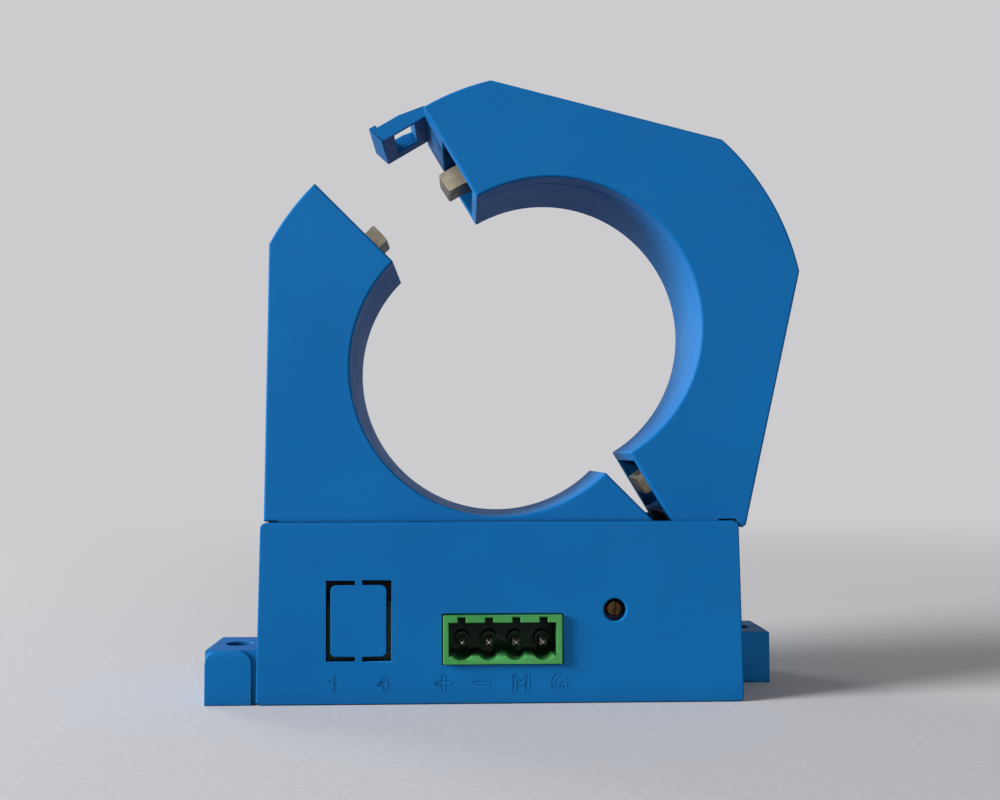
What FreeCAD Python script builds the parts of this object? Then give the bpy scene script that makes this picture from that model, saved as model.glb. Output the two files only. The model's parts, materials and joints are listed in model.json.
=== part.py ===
# Split-core leakage current sensor: a clip-on ring of two hinged halves that stands in a
# two-shell base with a plug-in terminal. Millimetres, +Z up, front face towards -Y, hinge
# towards +X. The origin is the middle of the base's underside.
import FreeCAD, Part
import Sketcher
import math
import os
import re

# Sizes that can be changed one at a time

SIZES = {
    # Base box
    "base_margin": 0.65,
    "base_lean": 0.25,
    "base_height": 25.2,
    "base_wall": 2.0,
    "base_corner": 0.7,
    "ear_length": 7.35,
    "ear_height": 7.6,
    "ear_depth": 12.1,
    "ear_setback": 0.6,
    "ear_panel": 0.4,
    "ear_panel_gap": 0.8,
    "ear_panel_corner": 2.0,
    "ear_hole_radius": 1.9,
    "ear_hole_inset": 3.7,
    # Ring
    "ring_half_width": 33.2,
    "ring_band": 11.8,
    "fixed_corner_bulge": 4.15,
    "moving_corner_bulge": 3.4,
    "ring_bottom": 14.1,
    "ring_top_drop": 0.95,
    "fixed_lean_angle": 0.8,
    "moving_lean_angle": 1.6,
    "ring_depth": 21.9,
    "ring_clearance": 0.3,
    "ring_wall": 1.8,
    "bore_wall": 1.5,
    "cover_depth": 4.45,
    "split_gap": 0.1,
    # Hinge
    "hinge_inset": 6.25,
    "hinge_rise": 5.7,
    "open_angle": 14.3,
    "pin_radius": 1.5,
    "pin_fit": 0.03,
    "pin_end_wall": 0.8,
    "knuckle_radius": 3.6,
    "knuckle_fit": 0.05,
    "hinge_clearance": 0.4,
    "hinge_side_gap": 0.2,
    "boss_radius": 3.2,
    "rear_boss_length": 2.2,
    "stop_gap": 0.2,
    "foot_clearance": 0.1,
    "foot_end_reach": 1.35,
    "foot_end_drop": 0.6,
    "foot_end_angle": 36.0,
    # Latch strap and its catch
    "strap_gap": 0.15,
    "strap_sink": 0.15,
    "strap_under_gap": 0.25,
    "strap_thickness": 2.15,
    "strap_shoulder_drop": 0.55,
    "strap_shoulder_angle": 10.0,
    "strap_length": 8.0,
    "strap_root": 0.9,
    "strap_back_gap": 2.95,
    "strap_lip": 0.45,
    "strap_lip_length": 1.2,
    "strap_slant_angle": 17.0,
    "strap_window_start": 1.7,
    "strap_window_length": 3.4,
    "strap_front_rail": 0.9,
    "strap_back_rail": 3.1,
    "catch_clearance": 0.1,
    "catch_side_gap": 0.6,
    # Cores, which rock in the halves
    "core_room": 2.5,
    "core_thickness": 3.0,
    "core_depth": 7.8,
    "core_shift": -0.45,
    "core_end_gap": 0.05,
    "fixed_core_travel": 1.3,
    "moving_core_travel": 1.45,
    "core_rest_gap": 0.15,
    "rest_width": 3.0,
    "rest_inset": 0.9,
    "rest_angle": 58.0,
    # Coils
    "former_fit": 0.1,
    "former_wall": 0.5,
    "former_flange": 0.8,
    "winding_thickness": 0.3,
    "coil_angle": 70.0,
    # Circuit board and its screws
    "board_side_gap": 1.25,
    "board_bottom": 2.6,
    "board_top_gap": 0.5,
    "board_thickness": 1.6,
    "screw_inset": 5.85,
    "screw_height": 8.0,
    "post_radius": 2.4,
    "screw_radius": 1.4,
    "screw_fit": 0.15,
    "screw_thread_fit": 0.02,
    "screw_bite": 5.0,
    "screw_tip_room": 0.5,
    "screw_head_radius": 2.5,
    "screw_head_height": 1.5,
    "screw_head_fit": 0.15,
    "socket_width": 2.0,
    "socket_depth": 0.8,
    "rib_from_screw": 14.0,
    "rib_thickness": 1.6,
    # Terminal header
    "header_across": 0.25,
    "header_drop": 1.75,
    "header_width": 16.63,
    "header_height": 6.75,
    "header_depth": 9.2,
    "header_proud": 0.8,
    "header_fit": 0.12,
    "header_floor": 1.6,
    "mouth_width": 15.0,
    "mouth_bottom": 1.15,
    "mouth_top": 1.05,
    "pole_pitch": 3.81,
    "scallop_radius": 1.75,
    "scallop_drop": 0.6,
    "key_width": 1.1,
    "key_depth": 0.75,
    "terminal_side": 0.9,
    "terminal_point": 0.25,
    "terminal_fit": 0.02,
    "terminal_hole_radius": 0.7,
    "terminal_recess": 1.7,
    "terminal_tail": 3.3,
    "terminal_height": 2.75,
    # Knock-out panel outlined by two C-shaped slots
    "knockout_inset": 14.0,
    "knockout_bottom": 6.0,
    "knockout_width": 9.1,
    "knockout_height": 11.2,
    "slot_width": 0.65,
    "bridge_width": 1.05,
    # Trimmer behind its hole
    "trimmer_across": 16.0,
    "trimmer_drop": 1.2,
    "trimmer_hole_radius": 1.55,
    "trimmer_width": 6.7,
    "trimmer_tall": 4.5,
    "trimmer_depth": 6.0,
    "trimmer_screw_side": 2.1,
    "trimmer_screw_top": 1.15,
    "adjuster_radius": 1.0,
    "adjuster_fit": 0.04,
    "adjuster_sunk": 1.8,
    "adjuster_proud": 1.05,
    "adjuster_slot_width": 0.4,
    "adjuster_slot_depth": 0.5,
    "lead_side": 0.45,
    "lead_hole_radius": 0.38,
    "lead_pitch": 2.3,
    "lead_tail": 1.2,
    # Other parts on the board
    "chip_from_screw": 8.0,
    "chip_width": 9.2,
    "chip_height": 3.9,
    "chip_depth": 1.6,
    "capacitor_from_screw": 7.5,
    "capacitor_radius": 2.5,
    "capacitor_length": 5.4,
    # How far a cut runs past the face that it opens
    "overrun": 1.0,
}

POLE_COUNT = 4
LEAD_COUNT = 3

# Places worked out from the sizes, as formulas

FRONT = "(-(ring_depth / 2 + ring_clearance + base_wall))"
WALL_INSIDE = "(ring_depth / 2 + ring_clearance)"
SHELL_DEPTH = "(ring_depth / 2 + ring_clearance + base_wall)"
HALF_BASE = "(ring_half_width + base_margin)"
BORE_RADIUS = "(ring_half_width - ring_band)"
BORE_UP = "(ring_bottom + ring_half_width)"
FIXED_ROUND = "(ring_half_width + fixed_corner_bulge)"
MOVING_ROUND = "(ring_half_width + moving_corner_bulge)"
RING_FRONT = "(-ring_depth / 2)"
RING_BACK = "(ring_depth / 2)"
SEAM = "(-ring_depth / 2 + cover_depth)"
CAVITY_FRONT = "(-ring_depth / 2 + ring_wall)"
CAVITY_BACK = "(ring_depth / 2 - ring_wall)"
CAVITY_INNER = "(" + BORE_RADIUS + " + bore_wall)"
CAVITY_OUTER = "(ring_half_width - ring_wall)"
RING_SIDE_IN_BASE = "(" + HALF_BASE + " - base_wall - ring_clearance)"
REACH = "(3 * ring_half_width)"
HINGE_ACROSS = "(" + HALF_BASE + " - hinge_inset)"
HINGE_UP = "(ring_bottom + hinge_rise)"
HINGE_INSET_AT_TOP = "(hinge_inset - base_lean)"
SCREW_ACROSS = "(" + HALF_BASE + " - screw_inset)"
BOARD_FRONT = "(" + FRONT + " - header_proud + header_depth)"
BOARD_BACK = "(" + BOARD_FRONT + " + board_thickness)"
CORE_INNER = "(" + CAVITY_INNER + " + core_room)"
CORE_OUTER = "(" + CORE_INNER + " + core_thickness)"
CORE_HALF = "(core_depth / 2)"
STRAP_FRONT = "(" + SEAM + " + strap_gap)"
STRAP_BACK = "(" + RING_BACK + " - strap_back_gap)"
STRAP_INNER = "(" + MOVING_ROUND + " - strap_sink)"
STRAP_OUTER = "(" + STRAP_INNER + " + strap_thickness)"
WINDOW_FRONT = "(" + STRAP_FRONT + " + strap_front_rail)"
WINDOW_BACK = "(" + STRAP_BACK + " - strap_back_rail)"
HEADER_TOP = "(ring_bottom - header_drop)"
HEADER_BOTTOM = "(" + HEADER_TOP + " - header_height)"
TRIMMER_UP = "(ring_bottom - trimmer_drop)"

# Turns, in degrees clockwise as the front is seen
SPLIT_NORMAL_TURN = "-45"
LATCH_RADIUS_TURN = "-135"

doc = FreeCAD.newDocument("leakage_current_sensor")
sheet = doc.addObject("Spreadsheet::Sheet", "sizes")
for row, (alias, size) in enumerate(SIZES.items(), start=1):
    sheet.set(f"A{row}", alias)
    sheet.set(f"B{row}", str(size))
    sheet.setAlias(f"B{row}", alias)
doc.recompute()


def sized(text):
    """A formula with each named size read from the sheet."""
    return re.sub(r"[a-z_]+", lambda word: "sizes." + word[0] if word[0] in SIZES else word[0], str(text))


def bind(item, formulas):
    for place, text in formulas.items():
        item.setExpression(place, sized(text))
    return item


# Solids and booleans


def box(name, across, deep, up):
    item = doc.addObject("Part::Box", name)
    for size, axis, (low, high) in zip(("Length", "Width", "Height"), "xyz", (across, deep, up)):
        bind(item, {size: f"({high}) - ({low})", f"Placement.Base.{axis}": low})
    return item


def turned_box(name, centre, turn, outward, deep, along):
    """A box in axes turned about Y: outward and along are measured from the centre."""
    item = doc.addObject("Part::Box", name)
    item.Placement.Rotation = FreeCAD.Rotation(FreeCAD.Vector(0, 1, 0), 1)
    spans = zip(("Length", "Width", "Height"), (outward, deep, along))
    bind(item, {size: f"({high}) - ({low})" for size, (low, high) in spans})
    bind(item, {
        "Placement.Rotation.Angle": turn,
        "Placement.Base.x": f"{centre[0]} + ({outward[0]}) * cos({turn}) + ({along[0]}) * sin({turn})",
        "Placement.Base.y": deep[0],
        "Placement.Base.z": f"{centre[1]} - ({outward[0]}) * sin({turn}) + ({along[0]}) * cos({turn})",
    })
    return item


def rod(name, radius, across, up, deep):
    """A cylinder along Y between two depths."""
    item = doc.addObject("Part::Cylinder", name)
    item.Placement.Rotation = FreeCAD.Rotation(FreeCAD.Vector(1, 0, 0), -90)
    bind(item, {
        "Radius": radius,
        "Height": f"({deep[1]}) - ({deep[0]})",
        "Placement.Base.x": across,
        "Placement.Base.y": deep[0],
        "Placement.Base.z": up,
    })
    return item


def fuse(name, *items):
    item = doc.addObject("Part::MultiFuse", name)
    item.Shapes = list(items)
    item.Refine = True
    return item


def common(name, *items):
    item = doc.addObject("Part::MultiCommon", name)
    item.Shapes = list(items)
    return item


def cut(name, base, *tools):
    item = doc.addObject("Part::Cut", name)
    item.Base = base
    item.Tool = tools[0] if len(tools) == 1 else fuse(name + "_tools", *tools)
    item.Refine = True
    return item


# Sketches and features of a body


def sketch_on(body, role, name, lift="0"):
    """A sketch on one of the body's own planes, lifted along that plane's normal."""
    plane = next(item for item in body.Origin.OriginFeatures if item.Role == role)
    item = body.newObject("Sketcher::SketchObject", name)
    item.AttachmentSupport = [(plane, "")]
    item.MapMode = "FlatFace"
    bind(item, {"AttachmentOffset.Base.z": lift})
    return item


def hold_point(sketch, line, end, start, place):
    for kind, value, text in zip(("DistanceX", "DistanceY"), start, place):
        index = sketch.addConstraint(Sketcher.Constraint(kind, -1, 1, line, end, value))
        sketch.setExpression(f"Constraints[{index}]", sized(text))


def polygon(sketch, corners):
    """A closed outline whose corners are pairs of formulas."""
    first = sketch.GeometryCount
    count = len(corners)
    turns = [2 * math.pi * k / count for k in range(count)]
    starts = [FreeCAD.Vector(math.cos(turn), math.sin(turn), 0) for turn in turns]
    for k in range(count):
        sketch.addGeometry(Part.LineSegment(starts[k], starts[(k + 1) % count]))
    for k in range(count):
        sketch.addConstraint(Sketcher.Constraint("Coincident", first + k, 2, first + (k + 1) % count, 1))
    for k, corner in enumerate(corners):
        hold_point(sketch, first + k, 1, (starts[k].x, starts[k].y), corner)
    return sketch


def rectangle(sketch, across, up):
    (left, right), (low, high) = across, up
    return polygon(sketch, [(left, low), (right, low), (right, high), (left, high)])


def arched_outline(sketch, across, top, radius):
    """A rectangle that stands on the ground, with its two upper corners rounded."""
    left, right = across
    shoulder = f"{top} - {radius}"
    corners = [
        ((-2, 0), (left, "0")),
        ((-2, 1), (left, shoulder)),
        ((-1, 2), (f"{left} + {radius}", top)),
        ((1, 2), (f"{right} - {radius}", top)),
        ((2, 1), (right, shoulder)),
        ((2, 0), (right, "0")),
    ]
    starts = [FreeCAD.Vector(*start, 0) for start, place in corners]
    for first in (0, 2, 4):
        line = sketch.addGeometry(Part.LineSegment(starts[first], starts[first + 1]))
        hold_point(sketch, line, 1, *corners[first])
        hold_point(sketch, line, 2, *corners[first + 1])
    ground = sketch.addGeometry(Part.LineSegment(starts[5], starts[0]))
    sketch.addConstraint(Sketcher.Constraint("Coincident", ground, 1, 2, 2))
    sketch.addConstraint(Sketcher.Constraint("Coincident", ground, 2, 0, 1))
    for centre, turn, upper, lower in ((-1, math.pi / 2, (1, 1), (0, 2)), (1, 0, (2, 1), (1, 2))):
        full = Part.Circle(FreeCAD.Vector(centre, 1, 0), FreeCAD.Vector(0, 0, 1), 1)
        arc = sketch.addGeometry(Part.ArcOfCircle(full, turn, turn + math.pi / 2))
        sketch.addConstraint(Sketcher.Constraint("Coincident", arc, 1, *upper))
        sketch.addConstraint(Sketcher.Constraint("Coincident", arc, 2, *lower))
        size = sketch.addConstraint(Sketcher.Constraint("Radius", arc, 1))
        sketch.setExpression(f"Constraints[{size}]", sized(radius))
    return sketch


def circle(sketch, radius, across, up):
    index = sketch.addGeometry(Part.Circle(FreeCAD.Vector(1, 1, 0), FreeCAD.Vector(0, 0, 1), 1))
    hold_point(sketch, index, 3, (1, 1), (across, up))
    size = sketch.addConstraint(Sketcher.Constraint("Radius", index, 1))
    sketch.setExpression(f"Constraints[{size}]", sized(radius))
    return sketch


def feature(body, kind, name, sketch, length, backwards=False):
    item = body.newObject("PartDesign::" + kind, name)
    item.Profile = sketch
    item.Reversed = backwards
    bind(item, {"Length": length})
    sketch.Visibility = False
    return item


def edges_where(shape, test):
    return [f"Edge{k}" for k, edge in enumerate(shape.Edges, start=1) if test(edge)]


def runs_along_depth(edge):
    ends = [vertex.Point for vertex in edge.Vertexes]
    if len(ends) < 2:
        return False
    step = ends[1] - ends[0]
    return abs(step.x) < 1e-6 and abs(step.z) < 1e-6


def round_edges(body, base, radius, test):
    doc.recompute()
    item = body.newObject("PartDesign::Fillet", base.Name + "_rounded")
    item.Base = (base, edges_where(base.Shape, test))
    bind(item, {"Radius": radius})
    return item


def new_body(label):
    body = doc.addObject("PartDesign::Body", label + "_body")
    body.Label = label
    return body


PARTS = []


def keep(item, label):
    item.Label = label
    PARTS.append(item)
    return item


# Base shells


def base_shell(label, hinge_across, boss_length):
    """The walls that both shells share, drawn as the front shell, which opens towards +Y."""
    body = new_body(label)
    outline = polygon(sketch_on(body, "XZ_Plane", label + "_outline"), [
        (f"-{HALF_BASE} - base_lean", "0"), (f"{HALF_BASE} + base_lean", "0"),
        (f"{HALF_BASE} - base_lean", "base_height"), (f"base_lean - {HALF_BASE}", "base_height"),
    ])
    block = feature(body, "Pad", label + "_block", outline, SHELL_DEPTH)
    round_edges(body, block, "base_corner", runs_along_depth)
    hollow = rectangle(
        sketch_on(body, "XZ_Plane", label + "_hollow_outline"),
        (f"-{HALF_BASE} + base_wall", f"{HALF_BASE} - base_wall"), ("base_wall", "base_height + base_wall"),
    )
    feature(body, "Pocket", label + "_hollow", hollow, WALL_INSIDE, backwards=True)

    # Fixing ear: a square block with a round-shouldered panel on its face
    ear_face = f"({SHELL_DEPTH} - ear_setback)"
    ear_outline = rectangle(
        sketch_on(body, "XZ_Plane", label + "_ear_outline", f"{ear_face} - ear_depth"),
        (f"-{HALF_BASE} - ear_length", f"-{HALF_BASE} + base_wall / 2"), ("0", "ear_height"),
    )
    feature(body, "Pad", label + "_ear", ear_outline, "ear_depth")
    panel = arched_outline(
        sketch_on(body, "XZ_Plane", label + "_ear_panel_outline", ear_face),
        (f"-{HALF_BASE} - ear_length", f"-{HALF_BASE} - ear_panel_gap"), "ear_height", "ear_panel_corner",
    )
    feature(body, "Pad", label + "_ear_panel", panel, "ear_panel")
    ear_hole = circle(
        sketch_on(body, "XY_Plane", label + "_ear_hole_outline"),
        "ear_hole_radius", f"-{HALF_BASE} - ear_length + ear_hole_inset", f"-{ear_face} + ear_depth / 2",
    )
    feature(body, "Pocket", label + "_ear_hole", ear_hole, "ear_height + overrun", backwards=True)

    # Boss and blind hole for one end of the hinge pin
    boss = circle(
        sketch_on(body, "XZ_Plane", label + "_boss_outline", f"{WALL_INSIDE} - {boss_length}"),
        "boss_radius", hinge_across, HINGE_UP,
    )
    feature(body, "Pad", label + "_boss", boss, f"{boss_length} + base_wall / 2")
    pin_hole = circle(
        sketch_on(body, "XZ_Plane", label + "_pin_hole_outline", f"{SHELL_DEPTH} - pin_end_wall"),
        "pin_radius + pin_fit", hinge_across, HINGE_UP,
    )
    feature(body, "Pocket", label + "_pin_hole", pin_hole, SHELL_DEPTH)
    return body


def front_shell():
    label = "base_front_shell"
    boss_length = f"({WALL_INSIDE} + {SEAM} - hinge_side_gap)"
    body = base_shell(label, HINGE_ACROSS, boss_length)

    # Screw posts that the circuit board rests on
    posts = sketch_on(body, "XZ_Plane", label + "_posts_outline", f"-{BOARD_FRONT}")
    pilots = sketch_on(body, "XZ_Plane", label + "_pilots_outline", f"-{BOARD_FRONT}")
    for side in ("-", ""):
        circle(posts, "post_radius", side + SCREW_ACROSS, "screw_height")
        circle(pilots, "screw_radius + screw_thread_fit", side + SCREW_ACROSS, "screw_height")
    feature(body, "Pad", label + "_posts", posts, f"{SHELL_DEPTH} + {BOARD_FRONT} - base_wall / 2")
    feature(body, "Pocket", label + "_pilots", pilots, "screw_bite + screw_tip_room", backwards=True)

    # Openings in the front wall, each cut from outside
    header_window = rectangle(
        sketch_on(body, "XZ_Plane", label + "_header_window_outline", SHELL_DEPTH),
        ("header_across - header_width / 2 - header_fit", "header_across + header_width / 2 + header_fit"),
        (f"{HEADER_BOTTOM} - header_fit", f"{HEADER_TOP} + header_fit"),
    )
    feature(body, "Pocket", label + "_header_window", header_window, "base_wall + overrun")
    trimmer_hole = circle(
        sketch_on(body, "XZ_Plane", label + "_trimmer_hole_outline", SHELL_DEPTH),
        "trimmer_hole_radius", "trimmer_across", TRIMMER_UP,
    )
    feature(body, "Pocket", label + "_trimmer_hole", trimmer_hole, "base_wall + overrun")
    slots = sketch_on(body, "XZ_Plane", label + "_knockout_outline", SHELL_DEPTH)
    low = "knockout_bottom"
    high = "knockout_bottom + knockout_height"
    middle = f"knockout_inset - {HALF_BASE}"
    for side in ("-", "+"):
        outer = f"{middle} {side} knockout_width / 2"
        inner = f"{middle} {side} (knockout_width / 2 - slot_width)"
        bridge = f"{middle} {side} bridge_width / 2"
        polygon(slots, [
            (bridge, low), (outer, low), (outer, high), (bridge, high),
            (bridge, f"{high} - slot_width"), (inner, f"{high} - slot_width"),
            (inner, f"{low} + slot_width"), (bridge, f"{low} + slot_width"),
        ])
    feature(body, "Pocket", label + "_knockout", slots, "base_wall + overrun")
    return keep(body, label)


def rear_shell():
    label = "base_rear_shell"
    body = base_shell(label, f"-{HINGE_ACROSS}", "rear_boss_length")

    # Sleeves that press the circuit board onto the front posts
    sleeves = sketch_on(body, "XZ_Plane", label + "_sleeves_outline", BOARD_BACK)
    holes = sketch_on(body, "XZ_Plane", label + "_screw_holes_outline", SHELL_DEPTH)
    sockets = sketch_on(body, "XZ_Plane", label + "_head_sockets_outline", SHELL_DEPTH)
    for side in ("-", ""):
        circle(sleeves, "post_radius", side + SCREW_ACROSS, "screw_height")
        circle(holes, "screw_radius + screw_fit", side + SCREW_ACROSS, "screw_height")
        circle(sockets, "screw_head_radius + screw_head_fit", side + SCREW_ACROSS, "screw_height")
    feature(body, "Pad", label + "_sleeves", sleeves, f"{SHELL_DEPTH} - {BOARD_BACK} - base_wall / 2")
    feature(body, "Pocket", label + "_screw_holes", holes, REACH)
    feature(body, "Pocket", label + "_head_sockets", sockets, "screw_head_height")

    # Ribs that the fixed half of the ring rests on
    ribs = sketch_on(body, "XZ_Plane", label + "_ribs_outline")
    for side in ("-", ""):
        middle = f"{side}({SCREW_ACROSS} - rib_from_screw)"
        rectangle(
            ribs, (f"{middle} - rib_thickness / 2", f"{middle} + rib_thickness / 2"),
            ("base_wall / 2", "ring_bottom"),
        )
    feature(body, "Pad", label + "_ribs", ribs, f"{WALL_INSIDE} + base_wall / 2")
    body.Placement = FreeCAD.Placement(FreeCAD.Vector(), FreeCAD.Rotation(FreeCAD.Vector(0, 0, 1), 180))
    return keep(body, label)


# Ring halves

BORE = ("0", BORE_UP)
HINGE = (HINGE_ACROSS, HINGE_UP)


def turn_about_hinge(item, turn, facing="0", across="0", up="0"):
    """Stands a piece, drawn closed about the point across and up, at its turn about the hinge."""
    item.Placement.Rotation = FreeCAD.Rotation(FreeCAD.Vector(0, 1, 0), 1)
    from_hinge = f"({across} - {HINGE_ACROSS})"
    above_hinge = f"({up} - {HINGE_UP})"
    bind(item, {
        "Placement.Rotation.Angle": f"{facing} + {turn}",
        "Placement.Base.x": f"{HINGE_ACROSS} + {from_hinge} * cos({turn}) + {above_hinge} * sin({turn})",
        "Placement.Base.z": f"{HINGE_UP} - {from_hinge} * sin({turn}) + {above_hinge} * cos({turn})",
    })


def bore_and_cavity(name, deep):
    """What both halves lose: the bore, and the open-ended channel that the core lies in."""
    ring = cut(
        name + "_channel",
        rod(name + "_channel_outer", CAVITY_OUTER, *BORE, (CAVITY_FRONT, CAVITY_BACK)),
        rod(name + "_channel_inner", CAVITY_INNER, *BORE, (CAVITY_FRONT, CAVITY_BACK)),
    )
    return [rod(name + "_bore", BORE_RADIUS, *BORE, deep), ring]


def crown(name, radius, deep):
    """Rounds the upper corners to an arc about the bore, and leaves what lies lower."""
    dome = rod(name + "_dome", radius, *BORE, deep)
    lower = box(name + "_below", (f"-{REACH}", REACH), deep, ("0", BORE_UP))
    return fuse(name + "_crown", dome, lower)


def beside(name, side, deep):
    """What lies outside the side of the ring, which leans in towards the top."""
    outward = {"-": (f"-{REACH}", "0"), "": ("0", REACH)}[side]
    turn = {"-": "fixed_lean_angle", "": "-moving_lean_angle"}[side]
    return turned_box(
        name + "_beside", (side + "ring_half_width", BORE_UP), turn, outward, deep, (f"-{REACH}", REACH),
    )


def fixed_half(name, deep):
    upper = box(
        name + "_upper", ("-ring_half_width - overrun", RING_SIDE_IN_BASE), deep,
        ("base_height + split_gap", f"{BORE_UP} + ring_half_width"),
    )
    lower = box(
        name + "_lower", (f"-{RING_SIDE_IN_BASE}", RING_SIDE_IN_BASE), deep,
        ("ring_bottom", BORE_UP),
    )
    blank = common(name + "_blank", fuse(name + "_sides", upper, lower), crown(name, FIXED_ROUND, deep))
    other_side = turned_box(
        name + "_other_side", BORE, SPLIT_NORMAL_TURN, ("-split_gap", REACH), deep, (f"-{REACH}", REACH),
    )
    hinge_room = rod(name + "_hinge_room", "knuckle_radius + hinge_clearance", *HINGE, deep)
    outside = beside(name, "-", deep)
    return cut(name + "_cut", blank, other_side, outside, hinge_room, *bore_and_cavity(name, deep))


def moving_half(name, deep):
    """The half that swings, drawn closed; its foot stops on the base when open, and hangs over its edge."""
    upper = box(
        name + "_upper", ("-ring_half_width", "ring_half_width + overrun"), deep,
        (HINGE_UP, f"{BORE_UP} + ring_half_width - ring_top_drop"),
    )
    blank = common(name + "_blank", upper, crown(name, MOVING_ROUND, deep))
    other_side = turned_box(
        name + "_other_side", BORE, SPLIT_NORMAL_TURN, (f"-{REACH}", "split_gap"), deep, (f"-{REACH}", REACH),
    )
    base_corner = f"sqrt({HINGE_INSET_AT_TOP} ^ 2 + (base_height - {HINGE_UP}) ^ 2)"
    foot = common(
        name + "_foot",
        turned_box(
            name + "_foot_plane", HINGE, "-open_angle", ("knuckle_radius", REACH), deep,
            (f"-{REACH}", f"base_height + stop_gap - {HINGE_UP}"),
        ),
        rod(name + "_foot_sweep", f"{base_corner} + foot_clearance", *HINGE, deep),
    )
    end_up = f"(base_height - foot_end_drop - {HINGE_UP}) * cos(foot_end_angle)"
    end_across = f"({HALF_BASE} + foot_end_reach - {HINGE_ACROSS}) * sin(foot_end_angle)"
    foot_end = turned_box(
        name + "_foot_end", HINGE, "-(open_angle + foot_end_angle)", ("hinge_inset", REACH), deep,
        (f"-{REACH}", f"{end_up} - {end_across}"),
    )
    outside = beside(name, "", deep)
    return cut(name + "_cut", blank, other_side, foot, foot_end, outside, *bore_and_cavity(name, deep))


def core_rests(name, angles, deep):
    """Pads beside the coil that carry the core at its depth."""
    return [
        turned_box(
            f"{name}_rest_{k}", BORE, f"-({angle})",
            (f"{CAVITY_INNER} + rest_inset", f"{CAVITY_OUTER} - rest_inset"), deep,
            ("-rest_width / 2", "rest_width / 2"),
        )
        for k, angle in enumerate(angles, start=1)
    ]


FIXED_REST_ANGLES = ("225 - rest_angle", "225 + rest_angle")
MOVING_REST_ANGLES = ("45 + rest_angle", "45 - rest_angle")
TRAY_REST = (f"core_shift + {CORE_HALF} + core_rest_gap", f"{CAVITY_BACK} + ring_wall / 2")
COVER_REST = (f"{CAVITY_FRONT} - ring_wall / 2", f"core_shift - {CORE_HALF} - core_rest_gap")


def strap_piece(name, outward, deep, along):
    return turned_box(name, BORE, LATCH_RADIUS_TURN, outward, deep, along)


def fixed_tray():
    half = fixed_half("fixed_tray", (SEAM, RING_BACK))
    floor = f"{STRAP_INNER} - strap_under_gap"
    recess = strap_piece(
        "strap_recess", (floor, REACH), (SEAM, f"{STRAP_BACK} + strap_gap"),
        ("-overrun", "strap_length + strap_root"),
    )
    catch = strap_piece(
        "catch", (f"{floor} - ring_wall / 2", f"{STRAP_INNER} - catch_clearance"),
        (f"{WINDOW_FRONT} + catch_side_gap", f"{WINDOW_BACK} - catch_side_gap"),
        ("strap_window_start + catch_side_gap", "strap_window_start + strap_window_length - catch_side_gap"),
    )
    rests = core_rests("fixed_tray", FIXED_REST_ANGLES, TRAY_REST)
    return keep(fuse("fixed_tray_whole", cut("fixed_tray_body", half, recess), catch, *rests), "fixed_ring_tray")


def fixed_cover():
    half = fixed_half("fixed_cover", (RING_FRONT, SEAM))
    rests = core_rests("fixed_cover", FIXED_REST_ANGLES, COVER_REST)
    return keep(fuse("fixed_cover_whole", half, *rests), "fixed_ring_cover")


def moving_tray():
    half = moving_half("moving_tray", (SEAM, RING_BACK))
    knuckle = rod("knuckle", "knuckle_radius", *HINGE, (SEAM, RING_BACK))
    strap_span = (STRAP_FRONT, STRAP_BACK)
    strap = strap_piece("strap", (STRAP_INNER, STRAP_OUTER), strap_span, ("-strap_root", "strap_length"))
    root = strap_piece(
        "strap_foot", (f"{MOVING_ROUND} - ring_wall", STRAP_OUTER), strap_span, ("-strap_root", "-split_gap"))
    lip = strap_piece(
        "strap_end", (STRAP_INNER, f"{STRAP_OUTER} + strap_lip"), strap_span,
        ("strap_length - strap_lip_length", "strap_length"),
    )
    window = strap_piece(
        "strap_window", (f"{STRAP_INNER} - overrun", f"{STRAP_OUTER} + overrun"),
        (WINDOW_FRONT, WINDOW_BACK),
        ("strap_window_start", "strap_window_start + strap_window_length"),
    )
    shoulder = turned_box(
        "strap_shoulder", BORE, f"{LATCH_RADIUS_TURN} + strap_shoulder_angle",
        (f"({STRAP_OUTER} - strap_shoulder_drop) * cos(strap_shoulder_angle)", REACH), strap_span,
        (f"-{REACH}", REACH),
    )
    tip = f"{STRAP_OUTER} + strap_lip"
    slant = turned_box(
        "strap_slant", BORE, f"{LATCH_RADIUS_TURN} - strap_slant_angle", ("ring_half_width", REACH), strap_span,
        (f"strap_length * cos(strap_slant_angle) - ({tip}) * sin(strap_slant_angle)", "strap_length"),
    )
    rests = core_rests("moving_tray", MOVING_REST_ANGLES, TRAY_REST)
    solid = fuse("moving_tray_solid", half, knuckle, strap, root, lip, *rests)
    boss_room = rod(
        "rear_boss_room", "knuckle_radius + hinge_clearance", *HINGE,
        (f"{WALL_INSIDE} - rear_boss_length - hinge_side_gap", f"{RING_BACK} + overrun"),
    )
    pin_hole = rod(
        "knuckle_hole", "pin_radius + knuckle_fit", *HINGE, (f"{SEAM} - overrun", f"{RING_BACK} + overrun"))
    tray = cut("moving_tray_whole", solid, window, shoulder, slant, boss_room, pin_hole)
    turn_about_hinge(tray, "open_angle")
    return keep(tray, "moving_ring_tray")


def moving_cover():
    half = moving_half("moving_cover", (RING_FRONT, SEAM))
    rests = core_rests("moving_cover", MOVING_REST_ANGLES, COVER_REST)
    solid = fuse("moving_cover_solid", half, *rests)
    boss_room = rod(
        "front_boss_room", "knuckle_radius + hinge_clearance", *HINGE,
        (f"{RING_FRONT} - overrun", f"{SEAM} + overrun"),
    )
    cover = cut("moving_cover_whole", solid, boss_room)
    turn_about_hinge(cover, "open_angle")
    return keep(cover, "moving_ring_cover")


# Cores and coils, revolved about the bore's axis and stood in place by their Placement


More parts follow.
